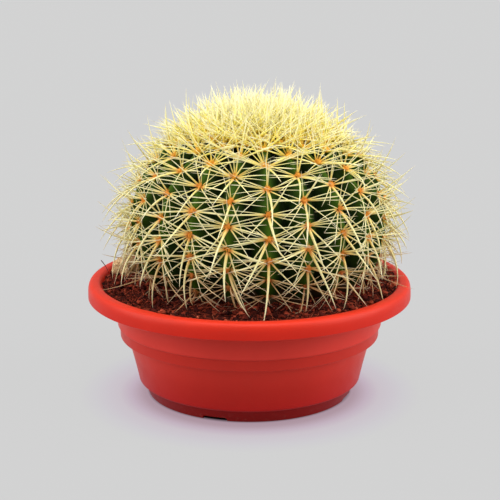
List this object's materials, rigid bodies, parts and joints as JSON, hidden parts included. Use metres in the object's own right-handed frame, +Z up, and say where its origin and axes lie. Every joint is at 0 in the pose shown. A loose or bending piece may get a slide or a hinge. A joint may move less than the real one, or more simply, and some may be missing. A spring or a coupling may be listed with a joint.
{
  "type": "potted barrel cactus",
  "caption": "Round, ribbed, densely spined golden barrel cactus standing in coir mix in a wide domed-lip bowl planter.",
  "frame": {"origin": "on the bowl's axis, on the surface that the foot ring stands on", "axes": "+Z up along the bowl's axis, -Y towards the pictured front, +X to its right"},
  "size_m": [0.28, 0.28, 0.2717],
  "materials": {
    "pot": "satin",
    "soil": "rough",
    "cactus": "satin"
  },
  "bodies": {
    "root": {"pot": "pot", "soil": "soil", "cactus": "cactus"}
  },
  "joints": []
}
